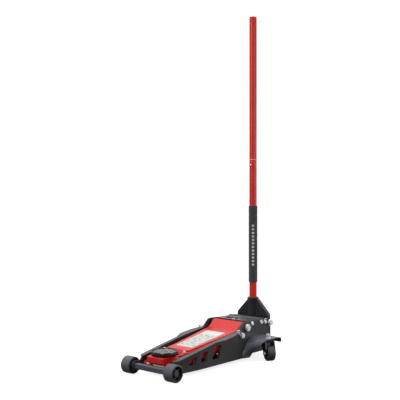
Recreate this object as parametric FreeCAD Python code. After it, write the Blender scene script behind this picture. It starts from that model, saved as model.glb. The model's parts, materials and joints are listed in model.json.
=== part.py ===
import FreeCAD, Part
import math
import os
from FreeCAD import Vector

# Low-profile hydraulic trolley jack, millimetres.
# +Z is up with the floor at Z = 0, the saddle end faces -Y, the handle end +Y.
# X = 0 is the middle plane. "left" is +X, the left hand of someone at the handle.

# ---- driving dimensions ----
AXLE_Y, AXLE_Z = -311.0, 32.5          # front roller axle
ROLLER_R, ROLLER_W, ROLLER_X = 32.5, 44.0, 110.5
AXLE_R = 9.0

PLATE_T = 5.0                          # side plate thickness
PLATE_BOTTOM, PLATE_REAR = 13.0, 327.0
PLATE_TOP_REAR = 151.0
# (y, outer x) of a side plate, seen from above
PLATE_PATH = [(-345, 85), (-240, 85), (-150, 94), (110, 94), (190, 88), (345, 88)]
FLANGE_T = 4.0
# (y, outer x, corner radius) of the top flange, seen from above
FLANGE_PATH = [(-277, 92, 0), (-264, 98, 6), (-150, 102, 60), (-58, 102, 14),
               (-20, 120, 14), (45, 118, 40), (94, 104, 20), (128, 92, 0)]
# (y, x) of the flange's inner edge, which overhangs the inside of the plate a little
FLANGE_INNER = [(128, 85), (-150, 85), (-240, 77), (-277, 77)]
# (y, z) of the straight top edge that the flange follows
TOP_EDGE = [(-276, 66), (-32, 109), (93, 125)]
# slots in a side plate: middle y, lowest z, highest z, width, lean
SLOTS = [(-179, 35, 64, 32, 12), (-114, 36, 77, 37, 14), (-40, 37, 89, 41, 15)]
SLOT_R = 5.0

SHAFT_Y, SHAFT_Z, SHAFT_R = 155.0, 134.0, 12.5   # main shaft, the arm's hinge
ARM_DY, ARM_DZ = -385.0, -72.0                   # from main shaft to saddle bracket pin
LINK_DY, LINK_DZ = -36.0, -27.0                  # from an arm pivot to the tie rod pivot
ARM_T = 7.0
# (y, outer x) of an arm cheek and of a tie rod, seen from above
ARM_PATH = [(-290, 63), (-200, 63), (60, 72), (200, 72)]
ROD_PATH = [(-330, 72), (-240, 72), (20, 81), (160, 81)]
ROD_T = 6.0
TOP_FRONT_Y, TOP_FRONT_Z = -160.0, 84.0          # front end of the arm's top plate
BEND_Y, BEND_Z = 108.0, 124.0                    # where the ramp begins
RAMP_Y, RAMP_Z = 147.0, 156.0                    # top of the ramp
TOP_T = 4.0
TOP_HALF_FRONT, TOP_HALF_BEND, TOP_HALF_RAMP = 53.0, 75.0, 73.5
NOSE_Y, NOSE_Z, NOSE_HALF = -175.0, 67.0, 43.0   # the plate's front lip, turned down behind the saddle

SADDLE_Y, SADDLE_R = -239.0, 52.5
SADDLE_BOTTOM, SADDLE_TOP = 74.0, 90.0
STEM_R = 14.0

LEVER_R, LEVER_BACK = 50.0, 36.0                 # arm lever radius and its rest angle, degrees
LEVER_ROLLER_R = 9.0
UNIT_Z = 89.0                                    # ram axis height
RAM_R, CYLINDER_R, TANK_R = 14.0, 24.0, 44.0
UNIT_FRONT, TANK_REAR, BLOCK_REAR = 198.0, 232.0, 282.0

PIVOT_Y, PIVOT_Z, PIVOT_R = 320.0, 133.0, 8.0    # handle hinge
SOCKET_R, SOCKET_TOP, SOCKET_BOTTOM = 20.5, 230.0, 150.0
YOKE_X, YOKE_T = 81.5, 4.5
PIPE_R, PIPE_T = 16.0, 2.5
PIPE_BOTTOM, PIPE_JOINT, PIPE_TOP = 155.0, 828.0, 1442.0
SLEEVE_R, SLEEVE_LOW, SLEEVE_HIGH = 19.2, 299.0, 629.0

PUMP_X, PUMP_ORBIT, PUMP_BACK = 32.0, 26.0, 37.5 # pump roller: side offset, orbit, rest angle
PUMP_ROLLER_R, PLUNGER_R = 7.0, 7.0

KING_X, KING_Y, KING_R = 152.0, 219.0, 6.0       # caster kingpin
WING_TOP, WING_T = 91.0, 4.0
TRAIL, TRAIL_ANGLE = 17.5, -31.0                 # caster trail and its rest direction, degrees
CASTER_R, CASTER_W, CASTER_BOLT_R = 31.0, 32.0, 5.0

RUN = 0.05                                       # running clearance on a pin
GAP = 0.1                                        # gap around a fixed pin

os.makedirs("parts", exist_ok=True)


# ---- shape helpers ----
def cyl_x(x0, x1, y, z, r):
    return Part.makeCylinder(r, x1 - x0, Vector(x0, y, z), Vector(1, 0, 0))


def cyl_y(y0, y1, x, z, r):
    return Part.makeCylinder(r, y1 - y0, Vector(x, y0, z), Vector(0, 1, 0))


def cyl_z(z0, z1, x, y, r):
    return Part.makeCylinder(r, z1 - z0, Vector(x, y, z0), Vector(0, 0, 1))


def box(x0, x1, y0, y1, z0, z1):
    return Part.makeBox(x1 - x0, y1 - y0, z1 - z0, Vector(x0, y0, z0))


def both(x0, x1, make):
    """make(x0, x1) on the left and make(-x1, -x0) on the right."""
    return [make(x0, x1), make(-x1, -x0)]


def outline(points, place, push):
    """A closed outline of (a, b) or (a, b, corner radius), pushed into a solid."""
    spots = [place(p[0], p[1]) for p in points]
    count = len(points)
    starts, ends, middles = [], [], []
    for i, p in enumerate(points):
        here = spots[i]
        radius = p[2] if len(p) > 2 else 0
        if radius == 0:
            starts.append(here)
            ends.append(here)
            middles.append(None)
            continue
        back = (spots[i - 1] - here).normalize()
        ahead = (spots[(i + 1) % count] - here).normalize()
        half = back.getAngle(ahead) / 2
        reach = radius / math.tan(half)
        inward = (back + ahead).normalize()
        starts.append(here + back * reach)
        ends.append(here + ahead * reach)
        middles.append(here + inward * (radius / math.sin(half) - radius))
    edges = []
    for i in range(count):
        if middles[i]:
            edges.append(Part.Arc(starts[i], middles[i], ends[i]).toShape())
        after = (i + 1) % count
        if (starts[after] - ends[i]).Length > 1e-6:
            edges.append(Part.LineSegment(ends[i], starts[after]).toShape())
    return Part.Face(Part.Wire(edges)).extrude(push)


def side_shape(points, x0, x1):
    """An outline of (y, z) points between two x."""
    return outline(points, lambda y, z: Vector(x0, y, z), Vector(x1 - x0, 0, 0))


def plan_shape(points, z0, z1):
    """An outline of (y, x) points between two z."""
    return outline(points, lambda y, x: Vector(x, y, z0), Vector(0, 0, z1 - z0))


def front_shape(points, y0, y1):
    """An outline of (x, z) points between two y."""
    return outline(points, lambda x, z: Vector(x, y0, z), Vector(0, y1 - y0, 0))


def band(path, thickness, z0=0.0, z1=200.0):
    """A wall that follows (y, outer x) points, seen from above."""
    inner = [(y, x - thickness) for y, x in reversed(path)]
    return plan_shape(path + inner, z0, z1)


def link(y0, z0, r0, y1, z1, r1, x0, x1):
    """Two round ends joined by their outer tangents."""
    length = math.hypot(y1 - y0, z1 - z0)
    heading = math.atan2(z1 - z0, y1 - y0)
    lean = math.acos((r0 - r1) / length)
    corners = []
    for y, z, r, turn in [(y0, z0, r0, lean), (y1, z1, r1, lean), (y1, z1, r1, -lean), (y0, z0, r0, -lean)]:
        corners.append((y + r * math.cos(heading + turn), z + r * math.sin(heading + turn)))
    web = side_shape(corners, x0, x1)
    return web.fuse([cyl_x(x0, x1, y0, z0, r0), cyl_x(x0, x1, y1, z1, r1)]).removeSplitter()


def mirror(shape):
    return shape.mirror(Vector(0, 0, 0), Vector(1, 0, 0))


def hexagon_x(x0, x1, y, z, across):
    """A hexagonal bolt head or nut along X, its edges bevelled."""
    reach = across / math.sqrt(3)
    corners = [(y + reach * math.cos(math.radians(60 * k)), z + reach * math.sin(math.radians(60 * k)))
               for k in range(6)]
    head = side_shape(corners, x0, x1)
    cone = Part.makeCone(reach * 1.03, reach * 0.93, x1 - x0, Vector(x0, y, z), Vector(1, 0, 0))
    return head.common(cone)


def hexagon_z(z0, z1, x, y, across):
    """A hexagonal bolt head or nut along Z."""
    reach = across / math.sqrt(3)
    turns = [math.radians(60 * k) for k in range(6)]
    return plan_shape([(y + reach * math.sin(turn), x + reach * math.cos(turn)) for turn in turns], z0, z1)


def save(name, *solids):
    shape = solids[0] if len(solids) == 1 else Part.makeCompound(list(solids))
    shape.exportStep("parts/" + name + ".step")


def save_pair(name, shape):
    """The left piece as modelled, and its mirror image on the right."""
    save(name + "_left", shape)
    save(name + "_right", mirror(shape))


def spring_y(y0, y1, x, z, radius, wire, turns):
    """A coil spring along +Y, its wire swept round a helix."""
    helix = Part.makeHelix((y1 - y0 - wire) / turns, y1 - y0 - wire, radius)
    start = Vector(radius, 0, 0)
    section = Part.Wire(Part.makeCircle(wire / 2, start, Vector(0, 1, 0)))
    coil = Part.Wire(helix).makePipeShell([section], True, True)
    coil.rotate(Vector(0, 0, 0), Vector(1, 0, 0), -90)
    coil.translate(Vector(x, y0 + wire / 2, z))
    return coil


# ---- side plates: pressed steel, with a top flange turned out over the sides ----
TIE_Y, TIE_Z = SHAFT_Y + LINK_DY, SHAFT_Z + LINK_DZ
COVER_BOLTS = [(195, 145), (258, 144), (285, 141)]
COVER_BOLT_R = 4.0
TIE_BOLT_R = 7.0

edge = [(AXLE_Y - 19.5, PLATE_BOTTOM, 19), (AXLE_Y - 19.5, 51.5, 18), (-286, 51.5, 4),
        (TOP_EDGE[0][0] - 1, TOP_EDGE[0][1] - 0.2, 1), TOP_EDGE[1],
        (TOP_EDGE[2][0], TOP_EDGE[2][1], 22), (127, 158, 26),
        (300, PLATE_TOP_REAR, 30), (PLATE_REAR, PLATE_TOP_REAR - 3, 15), (PLATE_REAR, 22, 6),
        (150, 22, 8), (144, PLATE_BOTTOM, 6)]
profile = side_shape(edge, 60, 130)
plate = profile.common(band(PLATE_PATH, PLATE_T))

ledge_points = TOP_EDGE + [(y, z - FLANGE_T) for y, z in reversed(TOP_EDGE)]
ledge_points[2] = (126, 129.5)
ledge_points[3] = (126, 125.5)
ledge = side_shape(ledge_points, 60, 130)
ledge_plan = FLANGE_PATH + FLANGE_INNER
plate = plate.fuse(ledge.common(plan_shape(ledge_plan, 0, 200))).removeSplitter()

holes = [cyl_x(60, 130, AXLE_Y, AXLE_Z, AXLE_R + GAP), cyl_x(60, 130, SHAFT_Y, SHAFT_Z, SHAFT_R + GAP),
         cyl_x(60, 130, TIE_Y, TIE_Z, TIE_BOLT_R + GAP), cyl_x(60, 130, PIVOT_Y, PIVOT_Z, PIVOT_R + GAP),
         cyl_x(60, 130, -237, 48.5, 5.0)]
holes += [cyl_x(60, 130, y, z, COVER_BOLT_R + GAP) for y, z in COVER_BOLTS]
for mid, low, high, width, lean in SLOTS:
    half, shift = width / 2, lean / 2
    corners = [(mid - half - shift, low, SLOT_R), (mid + half - shift, low, SLOT_R),
               (mid + half + shift, high, SLOT_R), (mid - half + shift, high, SLOT_R)]
    holes.append(side_shape(corners, 60, 130))
FLANGE_SLOPE = math.degrees(math.atan2(TOP_EDGE[2][1] - TOP_EDGE[1][1], TOP_EDGE[2][0] - TOP_EDGE[1][0]))
FLANGE_BOLT_X, FLANGE_BOLT_Y, FLANGE_BOLT_Z, FLANGE_BOLT_R = 102.5, 88.0, 124.7, 3.0


def on_flange(shape):
    """A shape modelled upright on the flange bolt's place, leaned square to the flange."""
    shape.rotate(Vector(0, FLANGE_BOLT_Y, FLANGE_BOLT_Z), Vector(1, 0, 0), FLANGE_SLOPE)
    return shape


holes.append(on_flange(cyl_z(110, 140, FLANGE_BOLT_X, FLANGE_BOLT_Y, FLANGE_BOLT_R + GAP)))
save_pair("side_plate", plate.cut(holes))

# ---- front axle: a flat-sided cross bar with a round spindle at each end ----
BAR_X = 79.8
bar = side_shape([(AXLE_Y - 10, AXLE_Z - 10.5, 4), (AXLE_Y + 10, AXLE_Z - 10.5, 4),
                  (AXLE_Y + 10, AXLE_Z + 10.5, 4), (AXLE_Y - 10, AXLE_Z + 10.5, 4)], -BAR_X, BAR_X)
ROLLER_IN, ROLLER_OUT = ROLLER_X - ROLLER_W / 2, ROLLER_X + ROLLER_W / 2
SPINDLE_X = ROLLER_OUT - 4
save("front_axle", bar.fuse(cyl_x(-SPINDLE_X, SPINDLE_X, AXLE_Y, AXLE_Z, AXLE_R)).removeSplitter())


def axle_ring(radius):
    return lambda a, b: cyl_x(a, b, AXLE_Y, AXLE_Z, radius).cut(cyl_x(a, b, AXLE_Y, AXLE_Z, AXLE_R + GAP))


# spacer washers between the side plates and the rollers, and the push-on end rings
RING_X = ROLLER_OUT - 8.5
save("axle_rings", *both(85.2, ROLLER_IN - 0.4, axle_ring(15)), *both(RING_X, RING_X + 3, axle_ring(13)))

# ---- front rollers: solid, dished on the outer face, with five spokes ----
roller = cyl_x(ROLLER_IN, ROLLER_OUT, AXLE_Y, AXLE_Z, ROLLER_R)
roller = roller.makeFillet(3.0, [e for e in roller.Edges if abs(e.Length - 2 * math.pi * ROLLER_R) < 1])
DISH = 9.0
dish = cyl_x(ROLLER_OUT - DISH, ROLLER_OUT + 1, AXLE_Y, AXLE_Z, 26)
pockets = cyl_x(ROLLER_OUT - 20, ROLLER_OUT - DISH + 1, AXLE_Y, AXLE_Z, 25.2).cut(
    cyl_x(ROLLER_OUT - 21, ROLLER_OUT, AXLE_Y, AXLE_Z, 15))
for k in range(5):
    spoke = box(ROLLER_OUT - 21, ROLLER_OUT, AXLE_Y - 3.5, AXLE_Y + 3.5, AXLE_Z, AXLE_Z + 30)
    spoke.rotate(Vector(0, AXLE_Y, AXLE_Z), Vector(1, 0, 0), 72 * k + 20)
    pockets = pockets.cut(spoke)
inner_dish = cyl_x(ROLLER_IN - 1, ROLLER_IN + 5, AXLE_Y, AXLE_Z, 26).cut(
    cyl_x(ROLLER_IN - 1, ROLLER_IN + 6, AXLE_Y, AXLE_Z, 15))
bore = cyl_x(ROLLER_IN - 1, ROLLER_OUT + 1, AXLE_Y, AXLE_Z, AXLE_R + RUN)
save_pair("front_roller", roller.cut([dish, pockets, inner_dish, bore]))

# ---- main shaft, its spacers and nuts ----
NUT_X, THREAD_R = 92.2, 9.5
save("main_shaft", cyl_x(-NUT_X, NUT_X, SHAFT_Y, SHAFT_Z, SHAFT_R).fuse(
    cyl_x(-NUT_X - 11, NUT_X + 11, SHAFT_Y, SHAFT_Z, THREAD_R)).removeSplitter())
CHEEK_OUT_REAR = ARM_PATH[-1][1]
SPACER_X0, SPACER_X1 = CHEEK_OUT_REAR + 0.4, 84.0
save("shaft_spacers", *both(SPACER_X0, SPACER_X1,
                            lambda a, b: cyl_x(a, b, SHAFT_Y, SHAFT_Z, 18).cut(
                                cyl_x(a, b, SHAFT_Y, SHAFT_Z, SHAFT_R + GAP))))


def shaft_nut(side):
    washer = cyl_x(NUT_X + 0.1, NUT_X + 2.1, SHAFT_Y, SHAFT_Z, 16.5)
    nut = washer.fuse(hexagon_x(NUT_X + 2.1, NUT_X + 9, SHAFT_Y, SHAFT_Z, 28)).removeSplitter()
    nut = nut.cut(cyl_x(NUT_X, NUT_X + 10, SHAFT_Y, SHAFT_Z, THREAD_R + GAP))
    return nut if side > 0 else mirror(nut)


save("shaft_nuts", shaft_nut(1), shaft_nut(-1))

# ---- tie rods, the lower links that keep the saddle level ----
ARM_Y, ARM_Z = SHAFT_Y + ARM_DY, SHAFT_Z + ARM_DZ
ROD_Y, ROD_Z = TIE_Y + ARM_DY, TIE_Z + ARM_DZ
ROD_PIN_R = 6.0
rod = link(TIE_Y, TIE_Z, 14, ROD_Y, ROD_Z, 13, 60, 90)
rod = rod.common(band(ROD_PATH, ROD_T))
rod = rod.cut([cyl_x(60, 90, TIE_Y, TIE_Z, TIE_BOLT_R + RUN), cyl_x(60, 90, ROD_Y, ROD_Z, ROD_PIN_R + RUN)])
save("tie_rods", rod, mirror(rod))


def tie_bolt(side):
    head = cyl_x(94.2, 96.4, TIE_Y, TIE_Z, 12).fuse(hexagon_x(96.4, 103, TIE_Y, TIE_Z, 19))
    shank = cyl_x(74.5, 94.2, TIE_Y, TIE_Z, TIE_BOLT_R)
    collar = cyl_x(81.5, 87.4, TIE_Y, TIE_Z, 10)
    bolt = head.fuse([shank, collar]).removeSplitter()
    return bolt if side > 0 else mirror(bolt)


save("tie_rod_bolts", tie_bolt(1), tie_bolt(-1))

# ---- lift arm: two cheeks under a bent top plate, a lever below the shaft ----
EAR_R, HUB_R = 15.0, 21.0
PIN_R = 7.5
ARM_TOP_SLOPE = (BEND_Z - TOP_FRONT_Z) / (BEND_Y - TOP_FRONT_Y)


def under_top(y):
    """Height of the underside of the arm's top plate."""
    return TOP_FRONT_Z + (y - TOP_FRONT_Y) * ARM_TOP_SLOPE - TOP_T


ramp_angle = math.atan2(RAMP_Z - BEND_Z, RAMP_Y - BEND_Y)
top_points = [(NOSE_Y, NOSE_Z), (TOP_FRONT_Y, TOP_FRONT_Z, 6), (BEND_Y, BEND_Z, 18), (RAMP_Y, RAMP_Z),
              (RAMP_Y + TOP_T * math.sin(ramp_angle), RAMP_Z - TOP_T * math.cos(ramp_angle)),
              (BEND_Y + 1.2, BEND_Z - TOP_T, 22), (TOP_FRONT_Y + 2, TOP_FRONT_Z - TOP_T, 2),
              (NOSE_Y + 3, NOSE_Z - 3)]
half_plan = [(NOSE_Y - 1, NOSE_HALF), (TOP_FRONT_Y - 0.5, NOSE_HALF), (TOP_FRONT_Y - 0.5, TOP_HALF_FRONT, 5),
             (BEND_Y, TOP_HALF_BEND, 20), (RAMP_Y + 5, TOP_HALF_RAMP, 4)]
top_plan = half_plan + [(p[0], -p[1], *p[2:]) for p in reversed(half_plan)]
top_plate = side_shape(top_points, -90, 90).common(plan_shape(top_plan, 60, 180))
save("arm_top_plate", top_plate)

cheek_edge = [(ARM_Y - 3, ARM_Z - EAR_R + 0.5, 0), (-90, 43, 60), (50, 56, 60), (SHAFT_Y, SHAFT_Z - HUB_R, 0),
              (SHAFT_Y + 18, SHAFT_Z, 0), (SHAFT_Y + 6, SHAFT_Z + 18, 0), (RAMP_Y - 6, RAMP_Z - 11, 0),
              (BEND_Y, under_top(BEND_Y) - 0.3, 0), (TOP_FRONT_Y, under_top(TOP_FRONT_Y) - 0.3, 0),
              (-171, 79.5, 0), (-200, ARM_Z + EAR_R, 20), (ARM_Y, ARM_Z + EAR_R, 0)]
boss = side_shape([(-198, 64, 0), (-198, 78.5, 5), (-171, 81.5, 3), (-171, 64, 0)], 46, 57)
cheek = side_shape(cheek_edge, 50, 80)
cheek = cheek.fuse([cyl_x(50, 80, ARM_Y, ARM_Z, EAR_R), cyl_x(50, 80, SHAFT_Y, SHAFT_Z, HUB_R)])
cheek = cheek.removeSplitter()
cheek = cheek.common(band(ARM_PATH, ARM_T)).fuse(boss).removeSplitter()
above_ramp = side_shape([(BEND_Y, BEND_Z - 2), (RAMP_Y, RAMP_Z - 2), (RAMP_Y + 2.5, RAMP_Z), (BEND_Y, 180)],
                        50, 80)
cheek = cheek.cut([top_plate, above_ramp])
BUSH_R = 15.0
cheek = cheek.cut([cyl_x(50, 80, ARM_Y, ARM_Z, PIN_R + GAP), cyl_x(50, 80, SHAFT_Y, SHAFT_Z, BUSH_R + GAP)])
save("arm_cheeks", cheek, mirror(cheek))

LABEL_T = 0.4
label_points = [(-129, TOP_FRONT_Z + (-129 - TOP_FRONT_Y) * ARM_TOP_SLOPE + 0.02),
                (70, TOP_FRONT_Z + (70 - TOP_FRONT_Y) * ARM_TOP_SLOPE + 0.02)]
label_points += [(y, z + LABEL_T) for y, z in reversed(label_points)]
label_plan = [(-129, -41, 3), (70, -48, 3), (70, 48, 3), (-129, 41, 3)]
save("arm_label", side_shape(label_points, -60, 60).common(plan_shape(label_plan, 60, 180)))

bush = cyl_x(-CHEEK_OUT_REAR, CHEEK_OUT_REAR, SHAFT_Y, SHAFT_Z, BUSH_R).cut(
    cyl_x(-90, 90, SHAFT_Y, SHAFT_Z, SHAFT_R + RUN))
save("arm_shaft_bush", bush)
save("arm_cross_tube", cyl_x(-60.2, 60.2, -60, 76, 9).cut(cyl_x(-61, 61, -60, 76, 6.5)))

lever_rest = math.radians(LEVER_BACK)
ROLL_Y = SHAFT_Y + LEVER_R * math.sin(lever_rest)
ROLL_Z = SHAFT_Z - LEVER_R * math.cos(lever_rest)
LEVER_X, LEVER_T = 12.0, 9.0
LEVER_PIN_R, LEVER_HUB_R = 5.0, 17.7


def lever_plate(x0, x1):
    body = link(SHAFT_Y, SHAFT_Z, LEVER_HUB_R, ROLL_Y, ROLL_Z, 9, x0, x1)
    return body.cut([cyl_x(x0, x1, SHAFT_Y, SHAFT_Z, BUSH_R + GAP),
                     cyl_x(x0, x1, ROLL_Y, ROLL_Z, LEVER_PIN_R + GAP)])


LEVER_PIN_X = 61.0
lever_pin = cyl_x(-LEVER_PIN_X, LEVER_PIN_X, ROLL_Y, ROLL_Z, LEVER_PIN_R)
save("arm_lever", *both(LEVER_X, LEVER_X + LEVER_T, lever_plate), lever_pin)
save("lever_roller", cyl_x(-LEVER_X + 0.5, LEVER_X - 0.5, ROLL_Y, ROLL_Z, LEVER_ROLLER_R).cut(
    cyl_x(-LEVER_X, LEVER_X, ROLL_Y, ROLL_Z, LEVER_PIN_R + RUN)))

# ---- saddle bracket: a casting that carries the saddle and stays level ----
LUG_X = 53.0
core = side_shape([(SADDLE_Y - 52, 44, 8), (SADDLE_Y - 52, 72, 5),
                   (SADDLE_Y + 36, 72, 5), (SADDLE_Y + 36, 50, 8)], -41, 41)
skirt = link(ROD_Y, ROD_Z, 12, ARM_Y, ARM_Z - 6, 12, -46, 46)
lugs = side_shape([(ARM_Y - 20, 50, 6), (ARM_Y - 16, 72.5, 4), (ARM_Y + 16, 72.5, 4), (ARM_Y + 20, 50, 6)],
                  -LUG_X, LUG_X)
hollow = side_shape([(ROD_Y - 20, 20, 0), (ROD_Y - 20, 52, 0), (ARM_Y + 12, 52, 10), (ARM_Y + 30, 20, 0)],
                    -32, 32)
bracket = core.fuse([skirt, lugs]).removeSplitter().cut(hollow)
bracket = bracket.fuse(cyl_z(46, 72, 0, SADDLE_Y, 21)).removeSplitter()
bracket = bracket.cut([cyl_z(40, 80, 0, SADDLE_Y, STEM_R + RUN),
                       cyl_x(35, 90, ARM_Y, ARM_Z, PIN_R + RUN), cyl_x(-90, -35, ARM_Y, ARM_Z, PIN_R + RUN),
                       cyl_x(-90, 90, ROD_Y, ROD_Z, ROD_PIN_R + GAP)])
save("saddle_bracket", bracket)


def arm_pin(side):
    pin = cyl_x(35.5, 64.0, ARM_Y, ARM_Z, PIN_R).fuse(cyl_x(63.3, 65.0, ARM_Y, ARM_Z, 10)).removeSplitter()
    return pin if side > 0 else mirror(pin)


save("arm_pins", arm_pin(1), arm_pin(-1))


def pin_ring(x0, x1):
    return cyl_x(x0, x1, ROD_Y, ROD_Z, 9.5).cut(cyl_x(x0, x1, ROD_Y, ROD_Z, ROD_PIN_R + GAP))


save("tie_rod_pin", cyl_x(-74.5, 74.5, ROD_Y, ROD_Z, ROD_PIN_R), *both(72.5, 74.0, pin_ring))

# ---- saddle: a turning steel cup with a rim of teeth, and its pad ----
cup = cyl_z(SADDLE_BOTTOM, SADDLE_TOP, 0, SADDLE_Y, SADDLE_R)
cup = cup.makeFillet(3.0, [e for e in cup.Edges if abs(e.CenterOfMass.z - SADDLE_BOTTOM) < 0.1])
CUP_IN, CUP_FLOOR = 44.0, 81.0
cup = cup.cut(cyl_z(CUP_FLOOR, SADDLE_TOP + 1, 0, SADDLE_Y, CUP_IN))
for k in range(8):
    notch = box(CUP_IN - 4, SADDLE_R + 2, SADDLE_Y - 5.5, SADDLE_Y + 5.5, SADDLE_TOP - 4, SADDLE_TOP + 1)
    notch.rotate(Vector(0, SADDLE_Y, 0), Vector(0, 0, 1), 45 * k + 10)
    cup = cup.cut(notch)
cup = cup.fuse(cyl_z(47, SADDLE_BOTTOM + 1, 0, SADDLE_Y, STEM_R)).removeSplitter()
save("saddle_cup", cup)
pad = cyl_z(CUP_FLOOR + 0.1, SADDLE_TOP - 3, 0, SADDLE_Y, 42)
pad = pad.cut([cyl_z(CUP_FLOOR, SADDLE_TOP, 0, SADDLE_Y, 12),
               cyl_z(SADDLE_TOP - 6, SADDLE_TOP, 0, SADDLE_Y, 30)])
save("saddle_pad", pad)
save("saddle_bolt", cyl_z(CUP_FLOOR + 0.1, CUP_FLOOR + 5, 0, SADDLE_Y, 9))

# ---- rear cover, and the plates that close the frame below the power unit and the arm ----
COVER_X, COVER_TOP, COVER_T, COVER_SKIRT = 82.5, 155.5, 3.0, 26.0
COVER_Y0, COVER_Y1 = 177.0, 294.0
cover = box(-COVER_X, COVER_X, COVER_Y0, COVER_Y1, COVER_TOP - COVER_T, COVER_TOP)
for x0, x1 in [(COVER_X - COVER_T, COVER_X), (-COVER_X, COVER_T - COVER_X)]:
    cover = cover.fuse(box(x0, x1, COVER_Y0 + 6, COVER_Y1, COVER_TOP - COVER_SKIRT, COVER_TOP))
RIB_Y = 262.0
rib = side_shape([(RIB_Y - 9, COVER_TOP - 0.5), (RIB_Y - 4, COVER_TOP + 3.5, 2),
                  (RIB_Y + 4, COVER_TOP + 3.5, 2), (RIB_Y + 9, COVER_TOP - 0.5)], -COVER_X, COVER_X)
cover = cover.fuse(rib).removeSplitter()
window = plan_shape([(196, -60, 6), (222, -60, 6), (222, 20, 6), (196, 20, 6)], 140, 170)
COVER_SCREW_Y = 183.0
cover = cover.cut([window, cyl_z(140, 170, 0, COVER_SCREW_Y, 3.1)])
for y, z in COVER_BOLTS:
    cover = cover.cut(cyl_x(-90, 90, y, z, COVER_BOLT_R + GAP))
save("rear_cover", cover)

FACE_X = 88.6
bolts = []
for y, z in COVER_BOLTS:
    bolt = cyl_x(76, FACE_X, y, z, COVER_BOLT_R)
    bolt = bolt.fuse([hexagon_x(FACE_X, FACE_X + 5.5, y, z, 13), cyl_x(FACE_X, FACE_X + 1.2, y, z, 8.5)])
    bolt = bolt.removeSplitter()
    bolts += [bolt, mirror(bolt)]
screw = cyl_z(150, COVER_TOP, 0, COVER_SCREW_Y, 3).fuse(cyl_z(COVER_TOP, COVER_TOP + 3, 0, COVER_SCREW_Y, 6))
flange_bolt = cyl_z(FLANGE_BOLT_Z - 9, FLANGE_BOLT_Z + 1, FLANGE_BOLT_X, FLANGE_BOLT_Y, FLANGE_BOLT_R).fuse([
    cyl_z(FLANGE_BOLT_Z + 0.1, FLANGE_BOLT_Z + 1.5, FLANGE_BOLT_X, FLANGE_BOLT_Y, 7),
    hexagon_z(FLANGE_BOLT_Z + 1.5, FLANGE_BOLT_Z + 8, FLANGE_BOLT_X, FLANGE_BOLT_Y, 11)]).removeSplitter()
flange_bolt = on_flange(flange_bolt)
save("cover_bolts", screw.removeSplitter(), *bolts, flange_bolt, mirror(flange_bolt))

BASE_Z0, BASE_Z1 = 24.0, 29.0
base = box(-82.6, 82.6, 190, 318, BASE_Z0, BASE_Z1)
for x0, x1 in [(78.6, 82.6), (-82.6, -78.6)]:
    base = base.fuse(box(x0, x1, 190, 318, BASE_Z0, 60))
# a thinner floor pan closes the frame below the arm, welded between the side plates
PAN_Z0, PAN_T = 14.0, 3.0
pan_side = [(-215, 82.0), (-150, 88.5), (108, 88.5)]
pan = plan_shape(pan_side + [(y, -x) for y, x in reversed(pan_side)], PAN_Z0, PAN_Z0 + PAN_T)
save("cross_plate", base.removeSplitter(), pan)

# ---- power unit: casting, tank, cylinder, gland, ram ----
block = box(-50, 50, TANK_REAR, BLOCK_REAR, BASE_Z1 + 0.1, 126)
block = block.makeFillet(5.0, [e for e in block.Edges if abs(e.Vertexes[0].X - e.Vertexes[1].X) < 0.1
                               and abs(e.Vertexes[0].Z - e.Vertexes[1].Z) < 0.1])
EAR_Z0, EAR_Z1 = 48.0, 76.0
ear = plan_shape([(BLOCK_REAR - 5, -16, 0), (PIVOT_Y + 14, -14, 10),
                  (PIVOT_Y + 14, 14, 10), (BLOCK_REAR - 5, 16, 0)], EAR_Z0, EAR_Z1)
block = block.fuse(ear).removeSplitter()
SPINDLE_R = 6.0
PLUNGER_BORE_Y = 235.0
PUMP_Z = 110.0
block = block.cut([cyl_y(TANK_REAR - 1, BLOCK_REAR - 8, 0, UNIT_Z, CYLINDER_R + GAP),
                   cyl_z(EAR_Z0 - 5, EAR_Z1 + 5, 0, PIVOT_Y, SPINDLE_R + RUN),
                   cyl_y(PLUNGER_BORE_Y, BLOCK_REAR + 1, PUMP_X, PUMP_Z, PLUNGER_R + RUN)])
save("unit_casting", block)
tank = cyl_y(UNIT_FRONT + 6, TANK_REAR, 0, UNIT_Z, TANK_R).cut(
    cyl_y(UNIT_FRONT, TANK_REAR + 1, 0, UNIT_Z, TANK_R - 3))
save("oil_tank", tank)
cylinder = cyl_y(UNIT_FRONT + 6.2, BLOCK_REAR - 8.2, 0, UNIT_Z, CYLINDER_R).cut(
    cyl_y(UNIT_FRONT, BLOCK_REAR - 13, 0, UNIT_Z, RAM_R + 2))
save("ram_cylinder", cylinder)
gland = cyl_y(UNIT_FRONT, UNIT_FRONT + 5.8, 0, UNIT_Z, TANK_R).cut(
    cyl_y(UNIT_FRONT - 1, UNIT_FRONT + 7, 0, UNIT_Z, RAM_R + RUN))
save("tank_head", gland)
RAM_NOSE = ROLL_Y + LEVER_ROLLER_R + 1.2
RAM_TAIL = BLOCK_REAR - 16
RAM_TONGUE, TONGUE_X = 20.0, 10.5            # the nose is milled flat to pass between the lever plates
tongue = cyl_y(RAM_NOSE, RAM_NOSE + RAM_TONGUE, 0, UNIT_Z, RAM_R).common(
    box(-TONGUE_X, TONGUE_X, RAM_NOSE, RAM_NOSE + RAM_TONGUE, 60, 120))
ram = cyl_y(RAM_NOSE + RAM_TONGUE, RAM_TAIL, 0, UNIT_Z, RAM_R)
seal = cyl_y(RAM_TAIL - 4.2, RAM_TAIL - 0.2, 0, UNIT_Z, RAM_R + 1.9).cut(
    cyl_y(RAM_TAIL - 9, RAM_TAIL, 0, UNIT_Z, RAM_R + 0.02))
save("ram", ram.fuse(tongue).removeSplitter(), seal)
plug = cyl_z(126.1, 129, -24, 256, 9).fuse(cyl_z(129, 134, -24, 256, 6)).removeSplitter()
valves = [hexagon_x(50.1, 55, 250, z, 14) for z in (52, 74)]
save("unit_plugs", plug, *valves)

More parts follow.
